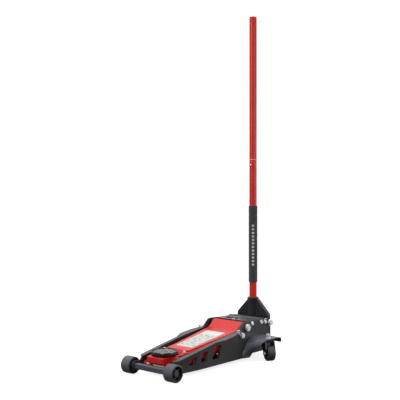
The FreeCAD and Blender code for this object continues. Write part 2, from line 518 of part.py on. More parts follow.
# ---- pump plunger with its gland and return spring ----
pump_rest = math.radians(PUMP_BACK)
PUMP_ROLL_Y = PIVOT_Y + PUMP_ORBIT * math.sin(pump_rest)
PUMP_ROLL_Z = PIVOT_Z - PUMP_ORBIT * math.cos(pump_rest)
HEAD_REAR = PUMP_ROLL_Y - PUMP_ROLLER_R - 0.8
HEAD_T, HEAD_R = 4.0, 11.0
plunger = cyl_y(PLUNGER_BORE_Y + 34, HEAD_REAR, PUMP_X, PUMP_Z, PLUNGER_R)
plunger = plunger.fuse(cyl_y(HEAD_REAR - HEAD_T, HEAD_REAR, PUMP_X, PUMP_Z, HEAD_R)).removeSplitter()
save("pump_plunger", plunger)
PUMP_GLAND_Y = BLOCK_REAR + 3
save("pump_gland", cyl_y(BLOCK_REAR + 0.1, PUMP_GLAND_Y, PUMP_X, PUMP_Z, 12).cut(
    cyl_y(BLOCK_REAR, PUMP_GLAND_Y + 1, PUMP_X, PUMP_Z, PLUNGER_R + RUN)))
save("plunger_spring", spring_y(PUMP_GLAND_Y + 0.3, HEAD_REAR - HEAD_T - 0.3, PUMP_X, PUMP_Z, 9.0, 1.8, 3.5))

# ---- release spindle with a ball head at the handle's hinge line ----
SPINDLE_LOW = EAR_Z0 - 10
spindle = cyl_z(SPINDLE_LOW, 112, 0, PIVOT_Y, SPINDLE_R).fuse([
    cyl_z(112, PIVOT_Z, 0, PIVOT_Y, 4), Part.makeSphere(7, Vector(0, PIVOT_Y, PIVOT_Z)),
    cyl_z(EAR_Z1 + 0.4, EAR_Z1 + 5, 0, PIVOT_Y, 10)]).removeSplitter()
save("release_spindle", spindle)

# ---- handle socket: pressed yoke, tube, lever lugs, roller ----
YOKE_TOP, YOKE_CORNER, YOKE_LOW = 226.0, 166.0, 149.0
YOKE_Y0 = PIVOT_Y - 4
YOKE_Y1 = PIVOT_Y + 15
front_points = [(-YOKE_X, YOKE_LOW, 2), (-YOKE_X, YOKE_CORNER, 8), (-24, YOKE_TOP, 4), (24, YOKE_TOP, 4),
                (YOKE_X, YOKE_CORNER, 8), (YOKE_X, YOKE_LOW, 2)]
inner_points = [(-YOKE_X + YOKE_T, YOKE_LOW - 2, 0), (-YOKE_X + YOKE_T, YOKE_CORNER - 2, 5),
                (-22, YOKE_TOP - 5, 2), (22, YOKE_TOP - 5, 2), (YOKE_X - YOKE_T, YOKE_CORNER - 2, 5),
                (YOKE_X - YOKE_T, YOKE_LOW - 2, 0)]
yoke = front_shape(front_points, YOKE_Y0, YOKE_Y1)
yoke = yoke.cut(front_shape(inner_points, YOKE_Y0 + YOKE_T, YOKE_Y1 + 1))
for x0, x1 in both(YOKE_X - YOKE_T, YOKE_X, lambda a, b: (a, b)):
    cheek_plate = side_shape([(PIVOT_Y - 14, PIVOT_Z, 0), (YOKE_Y0, YOKE_LOW + 8, 6),
                              (YOKE_Y0 + 1, YOKE_CORNER - 6, 0), (YOKE_Y1 - 2, YOKE_CORNER - 6, 0),
                              (PIVOT_Y + 14, PIVOT_Z, 0)], x0, x1)
    yoke = yoke.fuse([cheek_plate, cyl_x(x0, x1, PIVOT_Y, PIVOT_Z, 14)])
yoke = yoke.removeSplitter()
RIVETS = [(70.0, 159.0), (-70.0, 159.0)]
RIVET_R = 3.0
yoke = yoke.cut([cyl_z(140, 240, 0, PIVOT_Y, SOCKET_R + GAP), cyl_z(SOCKET_TOP - 9.1, 240, 0, PIVOT_Y, 22.6),
                 cyl_x(-90, 90, PIVOT_Y, PIVOT_Z, PIVOT_R + RUN)])
yoke = yoke.cut([cyl_y(YOKE_Y0 - 1, YOKE_Y0 + 8, x, z, RIVET_R + GAP) for x, z in RIVETS])
save("handle_yoke", yoke)
rivets = [cyl_y(YOKE_Y0 - 2.5, YOKE_Y0, x, z, 5).fuse(
    cyl_y(YOKE_Y0, YOKE_Y0 + 7, x, z, RIVET_R)).removeSplitter() for x, z in RIVETS]

socket = cyl_z(SOCKET_BOTTOM, SOCKET_TOP, 0, PIVOT_Y, SOCKET_R)
socket = socket.fuse(cyl_z(SOCKET_TOP - 9, SOCKET_TOP, 0, PIVOT_Y, 22.5)).removeSplitter()
CLAMP_Z = 205.0
socket = socket.cut([cyl_z(SOCKET_BOTTOM - 1, SOCKET_TOP + 1, 0, PIVOT_Y, PIPE_R + RUN),
                     cyl_y(PIVOT_Y, PIVOT_Y + 30, 0, CLAMP_Z, 4.1)])
save("socket_tube", socket)
clamp = cyl_y(PIVOT_Y + PIPE_R + 0.4, PIVOT_Y + 21, 0, CLAMP_Z, 4)
clamp = clamp.fuse(cyl_y(PIVOT_Y + 21, PIVOT_Y + 23.5, 0, CLAMP_Z, 7)).removeSplitter()
save("yoke_fasteners", clamp, *rivets)
LUG_GAP = 6.0


def pump_lug(x0, x1):
    body = link(PUMP_ROLL_Y, PUMP_ROLL_Z, 5.8, PIVOT_Y + 12, 145, 7, x0, x1)
    post = box(x0, x1, YOKE_Y0 + YOKE_T + 0.1, PIVOT_Y + 12, 143, 168)
    return body.fuse(post).removeSplitter().cut(cyl_x(x0, x1, PUMP_ROLL_Y, PUMP_ROLL_Z, 3.5 + GAP))


save("pump_lugs", pump_lug(PUMP_X - LUG_GAP - 4.5, PUMP_X - LUG_GAP),
     pump_lug(PUMP_X + LUG_GAP, PUMP_X + LUG_GAP + 4.5),
     cyl_x(PUMP_X - 11.5, PUMP_X + 11.5, PUMP_ROLL_Y, PUMP_ROLL_Z, 3.5))
save("pump_roller", cyl_x(PUMP_X - 5.6, PUMP_X + 5.6, PUMP_ROLL_Y, PUMP_ROLL_Z, PUMP_ROLLER_R).cut(
    cyl_x(PUMP_X - 6, PUMP_X + 6, PUMP_ROLL_Y, PUMP_ROLL_Z, 3.5 + RUN)))

# big-headed hinge bolts of the socket
hinge_bolt = cyl_x(YOKE_X - YOKE_T - 1, 88.2, PIVOT_Y, PIVOT_Z, PIVOT_R).fuse([
    cyl_x(88.2, 90.5, PIVOT_Y, PIVOT_Z, 14.5), hexagon_x(90.5, 98, PIVOT_Y, PIVOT_Z, 22)]).removeSplitter()
save("hinge_bolts", hinge_bolt, mirror(hinge_bolt))

# ---- handle: two pipes and their locking button, a grip sleeve, an end cap, the drive cup ----
def pipe(z0, z1, outer, inner):
    return cyl_z(z0, z1, 0, PIVOT_Y, outer).cut(cyl_z(z0 - 1, z1 + 1, 0, PIVOT_Y, inner))


BUTTON_R, BUTTON_Z = 3.5, PIPE_JOINT - 22
button_hole = cyl_y(PIVOT_Y - 30, PIVOT_Y, 0, BUTTON_Z, BUTTON_R + GAP)
save("handle_lower", pipe(PIPE_BOTTOM, PIPE_JOINT, PIPE_R, PIPE_R - PIPE_T).cut(button_hole))
SPIGOT_R, SPIGOT = PIPE_R - PIPE_T - GAP, 80.0
upper = pipe(PIPE_JOINT + 0.4, PIPE_TOP, PIPE_R, PIPE_R - PIPE_T)
upper = upper.fuse(pipe(PIPE_JOINT - SPIGOT, PIPE_JOINT + 30, SPIGOT_R, SPIGOT_R - PIPE_T))
upper = upper.fuse(pipe(PIPE_JOINT + 20, PIPE_JOINT + 30, PIPE_R, SPIGOT_R - PIPE_T)).removeSplitter()
save("handle_upper", upper)
save("handle_button", cyl_y(PIVOT_Y - PIPE_R - 1.2, PIVOT_Y - SPIGOT_R, 0, BUTTON_Z, BUTTON_R))
sleeve = pipe(SLEEVE_LOW, SLEEVE_HIGH, SLEEVE_R, PIPE_R + 0.02)
save("handle_sleeve", sleeve)
cap = cyl_z(PIPE_TOP + 0.05, PIPE_TOP + 4, 0, PIVOT_Y, PIPE_R).fuse(
    cyl_z(PIPE_TOP - 14, PIPE_TOP + 2, 0, PIVOT_Y, PIPE_R - PIPE_T - GAP)).removeSplitter()
save("handle_cap", cap)
drive = cyl_z(137, 154, 0, PIVOT_Y, 12).fuse(cyl_z(150, 172, 0, PIVOT_Y, SPIGOT_R)).removeSplitter()
save("drive_cup", drive.cut(cyl_z(130, 143, 0, PIVOT_Y, 8.5)))

# ---- caster brackets: a fender-like pressing, welded to the side plate at its foot ----
# under-side points (x, y, z) along the weld line, and along the free edge
WELD_LINE = [(94.3, 114, 14), (94.3, 120, 32), (93.9, 134, 50),
             (93.2, 152, 68), (91.8, 171, 81), (88.8, 196, 87)]
FREE_LINE = [(105, 151, 14), (112, 163, 31), (130, 164, 50),
             (149, 169, 66), (167, 178, 80), (178, 197, 87)]
sections = []
for k in range(len(WELD_LINE)):
    before, after = max(k - 1, 0), min(k + 1, len(WELD_LINE) - 1)
    weld, free = Vector(*WELD_LINE[k]), Vector(*FREE_LINE[k])
    along = Vector(*WELD_LINE[after]) + Vector(*FREE_LINE[after])
    along = along - Vector(*WELD_LINE[before]) - Vector(*FREE_LINE[before])
    proud = (free - weld).cross(along).normalize()
    if proud.x + proud.z < 0:
        proud = proud * -1
    if k == 0:
        proud = Vector(1, 0, 0)
    if k == len(WELD_LINE) - 1:
        proud = Vector(0, 0, 1)
    proud = proud * WING_T
    sections.append(Part.makePolygon([weld, free, free + proud, weld + proud, weld]))
WING_X, WING_REAR = 178.0, 262.0
wing = Part.makeLoft(sections, True, False)
deck = plan_shape([(197, 88.6, 0), (WING_REAR, 88.6, 0), (WING_REAR, WING_X, 14), (197, WING_X, 0)],
                  WING_TOP - WING_T, WING_TOP)
LIP_X0, LIP_X1, LIP_T, LIP_H = 134.0, 189.0, 5.0, 17.0
lip = box(LIP_X0, LIP_X1, WING_REAR - LIP_T, WING_REAR, WING_TOP - 1 - LIP_H, WING_TOP - 1)
lip = lip.makeFillet(2.4, lip.Edges)
wing = wing.fuse([deck, lip]).removeSplitter().cut(cyl_z(60, 100, KING_X, KING_Y, KING_R + GAP))
save_pair("caster_bracket", wing)


# ---- casters: kingpin, fork, race, wheel bolt, wheel ----
def place_caster(shape):
    shape.rotate(Vector(0, 0, 0), Vector(0, 0, 1), TRAIL_ANGLE)
    shape.translate(Vector(KING_X, KING_Y, 0))
    return shape


CROWN_Z0, CROWN_Z1 = 74.0, 78.5
LEG_IN, LEG_OUT, HEAD_END = 17.4, 21.4, 26.0   # fork leg faces and bolt head ends, from the wheel's middle
RACE_TOP = WING_TOP - WING_T - 0.5
kingpin = cyl_z(CROWN_Z0 + 0.3, WING_TOP + 17, KING_X, KING_Y, KING_R)
kingpin = kingpin.fuse([cyl_z(CROWN_Z0 + 0.3, CROWN_Z0 + 1.7, KING_X, KING_Y, 9.5),
                        cyl_z(WING_TOP, WING_TOP + 2, KING_X, KING_Y, 12),
                        hexagon_z(WING_TOP + 2, WING_TOP + 12, KING_X, KING_Y, 19)]).removeSplitter()
save("kingpins", kingpin, mirror(kingpin))

fork = cyl_z(CROWN_Z0, CROWN_Z1, 0, 0, LEG_OUT)
fork = fork.fuse(box(-16, TRAIL + 3, -LEG_OUT, LEG_OUT, CROWN_Z0, CROWN_Z1))
for y0, y1 in both(LEG_IN, LEG_OUT, lambda a, b: (a, b)):
    fork = fork.fuse(front_shape([(-16, CROWN_Z1, 0), (TRAIL + 3, CROWN_Z1, 0), (TRAIL + 13, 48, 10),
                                  (TRAIL + 10, 20, 9), (TRAIL - 10, 20, 9), (-16, 62, 10)], y0, y1))
fork = fork.removeSplitter().cut([cyl_z(CROWN_Z0 - 1, CROWN_Z1 + 1, 0, 0, KING_R + RUN),
                                  cyl_z(CROWN_Z0 - 1, CROWN_Z0 + 2, 0, 0, 10),
                                  cyl_y(-LEG_OUT - 1, LEG_OUT + 1, TRAIL, CASTER_R, CASTER_BOLT_R + GAP)])
race = cyl_z(CROWN_Z1 + 0.02, RACE_TOP, 0, 0, 20).cut(cyl_z(CROWN_Z1 - 1, RACE_TOP + 1, 0, 0, KING_R + RUN))
save_pair("caster_fork", Part.makeCompound([place_caster(fork), place_caster(race)]))
bolt = cyl_y(-HEAD_END, HEAD_END, TRAIL, CASTER_R, CASTER_BOLT_R).fuse([
    cyl_y(LEG_OUT + 0.05, HEAD_END, TRAIL, CASTER_R, 8.5),
    cyl_y(-HEAD_END, -LEG_OUT - 0.05, TRAIL, CASTER_R, 8)]).removeSplitter()
save_pair("caster_bolt", place_caster(bolt))
wheel = cyl_y(-CASTER_W / 2, CASTER_W / 2, TRAIL, CASTER_R, CASTER_R)
wheel = wheel.makeFillet(3.5, [e for e in wheel.Edges if abs(e.Length - 2 * math.pi * CASTER_R) < 1])
for y0, y1 in both(CASTER_W / 2 - 4, CASTER_W / 2 + 1, lambda a, b: (a, b)):
    wheel = wheel.cut(cyl_y(y0, y1, TRAIL, CASTER_R, 23).cut(cyl_y(y0, y1, TRAIL, CASTER_R, 10.5)))
wheel = wheel.cut(cyl_y(-20, 20, TRAIL, CASTER_R, CASTER_BOLT_R + RUN))
save_pair("caster_wheel", place_caster(wheel))

# ---- springs that pull the arm's lever back, and the pins that hold them ----
SPRING_X, ANCHOR_Y = 57.6, 262.0
save("spring_anchors", *both(50.1, 62, lambda a, b: cyl_x(a, b, ANCHOR_Y, ROLL_Z, 4)))
save("return_springs", *[spring_y(ROLL_Y + LEVER_PIN_R + 0.3, ANCHOR_Y - 4.3, x, ROLL_Z, 6.0, 2.0, 14)
                         for x in (SPRING_X, -SPRING_X)])
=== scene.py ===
import bmesh
import bpy
import json
import math
from mathutils import Matrix, Vector


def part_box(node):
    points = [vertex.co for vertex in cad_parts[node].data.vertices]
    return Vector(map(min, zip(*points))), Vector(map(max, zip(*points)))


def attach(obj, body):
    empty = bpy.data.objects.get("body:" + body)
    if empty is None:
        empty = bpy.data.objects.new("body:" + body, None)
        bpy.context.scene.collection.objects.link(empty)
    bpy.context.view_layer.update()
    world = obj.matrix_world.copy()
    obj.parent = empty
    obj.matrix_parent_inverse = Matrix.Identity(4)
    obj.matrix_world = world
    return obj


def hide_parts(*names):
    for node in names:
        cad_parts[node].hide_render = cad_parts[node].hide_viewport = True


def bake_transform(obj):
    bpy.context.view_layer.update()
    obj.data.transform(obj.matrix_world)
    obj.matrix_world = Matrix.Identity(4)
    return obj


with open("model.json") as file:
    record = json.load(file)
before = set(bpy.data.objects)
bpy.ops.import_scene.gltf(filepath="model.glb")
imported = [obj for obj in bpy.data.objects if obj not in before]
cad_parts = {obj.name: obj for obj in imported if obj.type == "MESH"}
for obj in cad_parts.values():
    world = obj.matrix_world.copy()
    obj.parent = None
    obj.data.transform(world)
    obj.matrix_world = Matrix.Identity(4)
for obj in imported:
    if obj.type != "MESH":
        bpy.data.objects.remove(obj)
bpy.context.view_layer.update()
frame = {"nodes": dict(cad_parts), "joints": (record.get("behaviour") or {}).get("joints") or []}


# ---- side plates ----
# Two long plates of 5 mm steel, slotted and pressed with a turned-out flange along the top, that carry
# everything else. They are powder coated in graphite grey, with the fine orange peel of such a coat and
# edges a little paler, partly rubbed wear and partly a painted highlight.
def add(tree, kind, **values):
    """One shader node. A key with a capital is an input, with I0 and I1 for inputs by number.

    Any other key is a setting of the node.
    """
    made = tree.nodes.new("ShaderNode" + kind)
    for key, value in values.items():
        if key[0].islower():
            setattr(made, key, value)
            continue
        socket = made.inputs[int(key[1:])] if key[1:].isdigit() else made.inputs[key.replace("_", " ")]
        if isinstance(value, bpy.types.NodeSocket):
            tree.links.new(value, socket)
        else:
            socket.default_value = value
    return made.outputs[0]


def tint(tree, share, first, second):
    """First colour turning into second as share goes from 0 to 1."""
    made = tree.nodes.new("ShaderNodeMix")
    made.data_type = "RGBA"
    for socket, value in [(made.inputs[0], share), (made.inputs[6], first), (made.inputs[7], second)]:
        if isinstance(value, bpy.types.NodeSocket):
            tree.links.new(value, socket)
        else:
            socket.default_value = value if isinstance(value, float) else (*value, 1)
    return made.outputs[2]


def spread(tree, value, low, high, to_low=0.0, to_high=1.0):
    """Value spread from low...high to to_low...to_high, and held there beyond them."""
    return add(tree, "MapRange", Value=value, From_Min=low, From_Max=high, To_Min=to_low, To_Max=to_high)


def mottle(tree, place, size, detail=3.0):
    """Soft noise whose patches are about size metres across, from 0 to 1."""
    return add(tree, "TexNoise", Vector=place, Scale=0.5 / size, Detail=detail, Roughness=0.55)


def times(tree, first, second):
    """The product of two values."""
    return add(tree, "Math", operation="MULTIPLY", I0=first, I1=second)


def split(tree, vector):
    """The X, Y and Z of a vector."""
    parts = tree.nodes.new("ShaderNodeSeparateXYZ")
    tree.links.new(vector, parts.inputs[0])
    return list(parts.outputs)


def bare(name):
    """A new material: its node tree, its shader, and the place on the piece in metres."""
    material = bpy.data.materials.new(name)
    material.use_nodes = True
    tree = material.node_tree
    place = tree.nodes.new("ShaderNodeTexCoord").outputs["Object"]
    return material, tree, tree.nodes["Principled BSDF"], place


def coat(tree, shader, tone, rough, relief, depth, strength):
    """Gives the shader its tone, its roughness and a fine relief that is depth metres deep."""
    tree.links.new(tone, shader.inputs["Base Color"])
    tree.links.new(rough, shader.inputs["Roughness"])
    bump = add(tree, "Bump", Height=relief, Distance=depth, Strength=strength)
    tree.links.new(bump, shader.inputs["Normal"])


def edges(tree, reach):
    """1 on the sharp edges of a piece, within reach metres, and 0 on its flats."""
    square = tree.nodes.new("ShaderNodeNewGeometry").outputs["Normal"]
    eased = add(tree, "Bevel", samples=4, Radius=reach)
    turn = tree.nodes.new("ShaderNodeVectorMath")
    turn.operation = "DOT_PRODUCT"
    tree.links.new(eased, turn.inputs[0])
    tree.links.new(square, turn.inputs[1])
    return spread(tree, turn.outputs["Value"], 0.99, 0.88)


def upward(tree, low, high):
    """1 on faces that look up and 0 on walls."""
    facing = tree.nodes.new("ShaderNodeNewGeometry").outputs["Normal"]
    return spread(tree, split(tree, facing)[2], low, high)


def paint(name, colour, shade, gloss, worn_and_highlit, peel=0.00005, grain=0.0011, dust=0.10):
    """Paint on steel: two close tones in soft patches, orange peel, paler edges that are partly rubbed wear
    and partly a painted highlight, and a little dust.
    """
    material, tree, shader, place = bare(name)
    tone = tint(tree, spread(tree, mottle(tree, place, 0.04), 0.3, 0.7), colour, shade)
    # Edges turn towards the paler edge colour: partly rubbed wear, partly a painted highlight along them.
    rub = spread(tree, mottle(tree, place, 0.005, 5.0), 0.35, 0.65, 0.2, 0.9)
    tone = tint(tree, times(tree, edges(tree, 0.0012), rub), tone, worn_and_highlit)
    settled = spread(tree, mottle(tree, place, 0.03, 6.0), 0.3, 0.8, 0.3 * dust, dust)
    dust_grey = (0.45, 0.44, 0.42)
    tone = tint(tree, times(tree, upward(tree, 0.4, 1.0), settled), tone, dust_grey)
    rough = spread(tree, mottle(tree, place, 0.015, 4.0), 0.0, 1.0, gloss - 0.05, gloss + 0.10)
    coat(tree, shader, tone, rough, mottle(tree, place, grain, 2.0), peel, 0.7)
    shader.inputs["Coat Weight"].default_value = 0.06
    shader.inputs["Coat Roughness"].default_value = 0.2
    shader.inputs["Specular IOR Level"].default_value = 0.38
    return material


def soften(piece, width):
    """Rolls every sharp edge of a piece to a small round, and keeps its flats flat."""
    for face in piece.data.polygons:
        face.use_smooth = True
    weld = piece.modifiers.new("join", "WELD")
    weld.merge_threshold = 0.00001
    roll = piece.modifiers.new("edge round", "BEVEL")
    roll.width = width
    roll.segments = 2
    roll.limit_method = "ANGLE"
    roll.angle_limit = math.radians(32)
    even = piece.modifiers.new("even", "WEIGHTED_NORMAL")
    even.weight = 80


def dress(finish, width, *names):
    """Gives CAD nodes a finish and rounded edges."""
    for name in names:
        piece = frame["nodes"][name]
        piece.data.materials.clear()
        piece.data.materials.append(finish)
        soften(piece, width)


graphite = paint("graphite powder coat", (0.025, 0.0255, 0.029), (0.032, 0.033, 0.037), 0.36,
                 (0.14, 0.14, 0.145), dust=0.06)
dress(graphite, 0.0008, "side_plate_left", "side_plate_right")


# ---- closing plates and front axle ----
# The cross plate under the power unit with the thin floor pan under the arm, and the flat-sided bar across
# the front, all welded between the side plates. The floor pan is a dark sheet that stands in for the shade
# on the floor inside the frame. The plates share their coat, the bar is a bluer slate, and short rippled
# weld beads run along the pan's edges.
slate = paint("slate coat", (0.054, 0.060, 0.077), (0.066, 0.074, 0.092), 0.36, (0.20, 0.21, 0.23), dust=0.06)
# The cross plate node holds the floor pan, a dark sheet put in as painted shade for the floor inside the
# frame.
dress(graphite, 0.0009, "cross_plate")
dress(slate, 0.0009, "front_axle")


def settle(name, shape, place, finish, body, slot, *stands_for, width=0.0):
    """Makes a finished piece of a mesh, at its place, on its body and for the CAD nodes it stands for."""
    bmesh.ops.recalc_face_normals(shape, faces=shape.faces)
    mesh = bpy.data.meshes.new(name)
    shape.to_mesh(mesh)
    shape.free()
    mesh.materials.append(finish)
    piece = bpy.data.objects.new(name, mesh)
    bpy.context.scene.collection.objects.link(piece)
    piece.matrix_world = place
    for face in mesh.polygons:
        face.use_smooth = True
    if width:
        soften(piece, width)
    if stands_for:
        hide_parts(*stands_for)
    if body:
        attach(piece, body)
    return piece


def skin(shape, one, two):
    """Joins two rings of points with a band of faces."""
    for k in range(len(one)):
        after = (k + 1) % len(one)
        shape.faces.new([one[k], one[after], two[after], two[k]])


def rod(shape, stations):
    """Adds a closed round rod. A station is a middle, two directions across the rod and a radius."""
    sides = 10
    rings = []
    for middle, side, lift, radius in stations:
        rings.append([shape.verts.new(middle + radius * (side * math.cos(turn) + lift * math.sin(turn)))
                      for turn in [math.tau * step / sides for step in range(sides)]])
    for one, two in zip(rings, rings[1:]):
        skin(shape, one, two)
    shape.faces.new(rings[0][::-1])
    shape.faces.new(rings[-1])


def welded(name, path, width, finish, body, slot):
    """A weld bead laid along a path: a low rippled ridge, one ripple for each drop of metal."""
    drop, stride = 0.0022, 0.0006
    walk = 0.0
    stations = []
    for here, there in zip(path, path[1:]):
        start, run = Vector(here), Vector(there) - Vector(here)
        count = max(2, int(run.length / stride))
        side = run.cross(Vector((0.37, 0.61, 0.7))).normalized()
        lift = run.cross(side).normalized()
        for k in range(count):
            walk += run.length / count
            beat = (walk / drop) % 1.0
            wide = width * (0.40 + 0.10 * math.sin(math.pi * beat) + 0.03 * math.sin(walk * 910))
            stations.append((start + run * (k / count), side, lift, wide))
    shape = bmesh.new()
    rod(shape, stations)
    return settle(name, shape, Matrix.Identity(4), finish, body, slot)


pan_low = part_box("cross_plate")[0]
pan_edge, bead_lift, bead_width = 0.0885, 0.003, 0.0045
for side, tag in [(1, "left"), (-1, "right")]:
    for number, ends in enumerate([(-0.150, -0.105), (-0.045, 0.0), (0.060, 0.100)], 1):
        bead = [(side * pan_edge, y, pan_low.z + bead_lift) for y in ends]
        welded(f"pan_weld_{tag}_{number}", bead, bead_width, graphite, "chassis", "frame_paint")


# ---- slot lips ----
# Each slot of a side plate is drawn inward into a shallow lip when it is punched, which stiffens the plate.
# The lips are part of the plate's pressing and share its coat.
def rounded(corners, radius, parts=5):
    """A closed outline of (y, z) corners with each corner rounded."""
    points = []
    for k, corner in enumerate(corners):
        here, back, ahead = Vector(corner), Vector(corners[k - 1]), Vector(corners[(k + 1) % len(corners)])
        one, two = (back - here).normalized(), (ahead - here).normalized()
        reach = radius / math.tan(one.angle(two) / 2)
        for part in range(parts + 1):
            t = part / parts
            points.append((1 - t) ** 2 * (here + one * reach) + 2 * t * (1 - t) * here
                          + t ** 2 * (here + two * reach))
    return points


# A slot is its middle, bottom, top, width, how far its top leans back, and the plate's inner face there.
# The lip's profile is a list of (how far outside the slot, how far in from that face).
slots = [(-0.179, 0.035, 0.064, 0.032, 0.012, 0.0862),
         (-0.114, 0.036, 0.077, 0.037, 0.014, 0.0893),
         (-0.040, 0.037, 0.089, 0.041, 0.015, 0.0893)]
lip_profile = [(0.0022, 0.0), (0.0022, 0.0060), (0.0014, 0.0068), (0.0004, 0.0068), (-0.0002, 0.0060),
               (-0.0002, 0.0)]
slot_corner = 0.005
for side, tag in [(1, "left"), (-1, "right")]:
    shape = bmesh.new()
    for middle, low, high, wide, lean, inner in slots:
        loops = []
        for grow, deep in lip_profile:
            half, shift = wide / 2 + grow, lean / 2
            corners = [(middle - half - shift, low - grow), (middle + half - shift, low - grow),
                       (middle + half + shift, high + grow), (middle - half + shift, high + grow)]
            loops.append([shape.verts.new((side * (inner - deep), y, z))
                          for y, z in rounded(corners, slot_corner + grow)])
        for one, two in zip(loops, loops[1:] + loops[:1]):
            skin(shape, one, two)
    settle("slot_lips_" + tag, shape, Matrix.Identity(4), graphite, "chassis", "frame_paint")


# ---- front rollers ----
# Two broad steel rollers with a lightly ribbed tread, a dished outer face and five spokes round a hub.
# The tread is a paler grey, and both faces are painted near-black as shade for the sides that turn away from
# the light.
def turned(outline, steps=96, lift=None):
    """A closed outline of (along, radius) points turned round X, where radius 0 is on the axis.

    lift gives how far a point is moved along the axis.
    """
    shape = bmesh.new()
    rings = []
    for step in range(steps):
        turn = math.tau * step / steps
        rings.append([shape.verts.new((a + (lift(a, r, turn) if lift else 0.0),
                                       r * math.cos(turn), r * math.sin(turn))) for a, r in outline])
    for step in range(steps):
        one, two = rings[step], rings[(step + 1) % steps]
        for k in range(len(outline)):
            after = (k + 1) % len(outline)
            if outline[k][1] or outline[after][1]:
                shape.faces.new([one[k], one[after], two[after], two[k]])
    bmesh.ops.remove_doubles(shape, verts=shape.verts, dist=0.000001)
    return shape


def block(shape, sizes, place, flare=1.0):
    """Adds a closed block to a mesh. Its far end along Z is flare times as wide along Y."""
    half = [size / 2 for size in sizes]
    corner = {}
    for x in (-1, 1):
        for y in (-1, 1):
            for z in (-1, 1):
                share = flare if z > 0 else 1.0
                at = Vector((x * half[0], y * half[1] * share, z * half[2]))
                corner[x, y, z] = shape.verts.new(place @ at)
    for axis in range(3):
        for sign in (-1, 1):
            keys = []
            for a, b in [(-1, -1), (1, -1), (1, 1), (-1, 1)]:
                key = [a, b]
                key.insert(axis, sign)
                keys.append(corner[tuple(key)])
            shape.faces.new(keys)


def plus(tree, first, second):
    """The sum of two values."""
    return add(tree, "Math", operation="ADD", I0=first, I1=second)


roller_coat, tree, shader, place = bare("roller coat")
y, z = split(tree, place)[1:]
reach = add(tree, "Math", operation="SQRT", I0=plus(tree, times(tree, y, y), times(tree, z, z)))
# The faces are painted near-black as shade, and the tread a paler grey.
on_tread = spread(tree, reach, 0.0285, 0.0318)
face_painted_shade = tint(tree, spread(tree, mottle(tree, place, 0.01, 5.0), 0.35, 0.7),
                 (0.014, 0.014, 0.017), (0.030, 0.030, 0.034))
tread_tone = tint(tree, spread(tree, mottle(tree, place, 0.004, 7.0), 0.3, 0.7),
                  (0.050, 0.053, 0.062), (0.080, 0.083, 0.094))
coat(tree, shader, tint(tree, on_tread, face_painted_shade, tread_tone),
     spread(tree, mottle(tree, place, 0.003, 5.0), 0.3, 0.7, 0.42, 0.66),
     mottle(tree, place, 0.0007, 5.0), 0.00012, 0.8)

tread, rib, rib_depth = 0.0325, 0.0040, 0.0003
tread_line = []
for k in range(9):
    start = 0.0045 + k * rib
    tread_line += [(start, tread), (start + rib * 0.72, tread), (start + rib * 0.80, tread - rib_depth),
                   (start + rib * 0.92, tread - rib_depth)]
roller_outline = [(0.0, 0.0092), (0.0, 0.0150), (0.0050, 0.0156), (0.0056, 0.0160), (0.0056, 0.0246),
                  (0.0048, 0.0256), (0.0006, 0.0266), (0.0, 0.0275), (0.0, 0.0292), (0.0005, 0.0308),
                  (0.0016, 0.0320), (0.0032, tread)]
roller_outline += tread_line
roller_outline += [(0.0408, tread), (0.0424, 0.0320), (0.0435, 0.0308), (0.0440, 0.0292), (0.0440, 0.0272),
                   (0.0434, 0.0264), (0.0360, 0.0254), (0.0250, 0.0250), (0.0240, 0.0240), (0.0240, 0.0165),
                   (0.0250, 0.0155), (0.0370, 0.0142), (0.0385, 0.0132), (0.0390, 0.0120), (0.0390, 0.0092)]
spokes, spoke_size, spoke_flare = 5, (0.0116, 0.0072, 0.0130), 1.35
for side, tag in [(1, "left"), (-1, "right")]:
    low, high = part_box("front_roller_" + tag)
    shape = turned(roller_outline)
    for k in range(spokes):
        turn = Matrix.Rotation(math.radians(360 / spokes * k + 20), 4, "X")
        block(shape, spoke_size, turn @ Matrix.Translation((0.0292, 0, 0.0195)), spoke_flare)
    middle = (low + high) / 2
    inner = low.x if side > 0 else high.x
    facing = Matrix.Identity(4) if side > 0 else Matrix.Rotation(math.pi, 4, "Z")
    settle("roller_" + tag, shape, Matrix.Translation((inner, middle.y, middle.z)) @ facing,
           roller_coat, "roller_" + tag, "roller_steel", "front_roller_" + tag, width=0.0005)


# ---- pivots and bolts ----
# The main shaft with its washers and nuts, the tie rod bolts, the big hinge bolts of the handle, cover and
# flange bolts, kingpins and plugs. They are bright zinc plated, faintly bluish, with fine tool marks and a
# dull film. The saddle's bolt, the rings, spacers, anchors and release parts are dark oxide.
def plating(name, colour, dull, low, high, metallic=1.0):
    """Plated or ground metal: a mottled film over bright steel, with fine marks and brighter edges."""
    material, tree, shader, place = bare(name)
    film = spread(tree, mottle(tree, place, 0.004, 6.0), 0.35, 0.7)
    rub = spread(tree, mottle(tree, place, 0.002), 0.3, 0.7, 0.0, 0.5)
    tone = tint(tree, times(tree, edges(tree, 0.0016), rub), tint(tree, film, colour, dull), (0.9, 0.9, 0.9))
    stretched = add(tree, "Mapping", Vector=place, Scale=(9.0, 1.0, 1.0))
    coat(tree, shader, tone, spread(tree, film, 0.0, 1.0, low, high),
         mottle(tree, stretched, 0.0012, 4.0), 0.00003, 0.5)
    shader.inputs["Metallic"].default_value = metallic
    return material


def minus(tree, first, second):
    """The first value less the second."""
    return add(tree, "Math", operation="SUBTRACT", I0=first, I1=second)


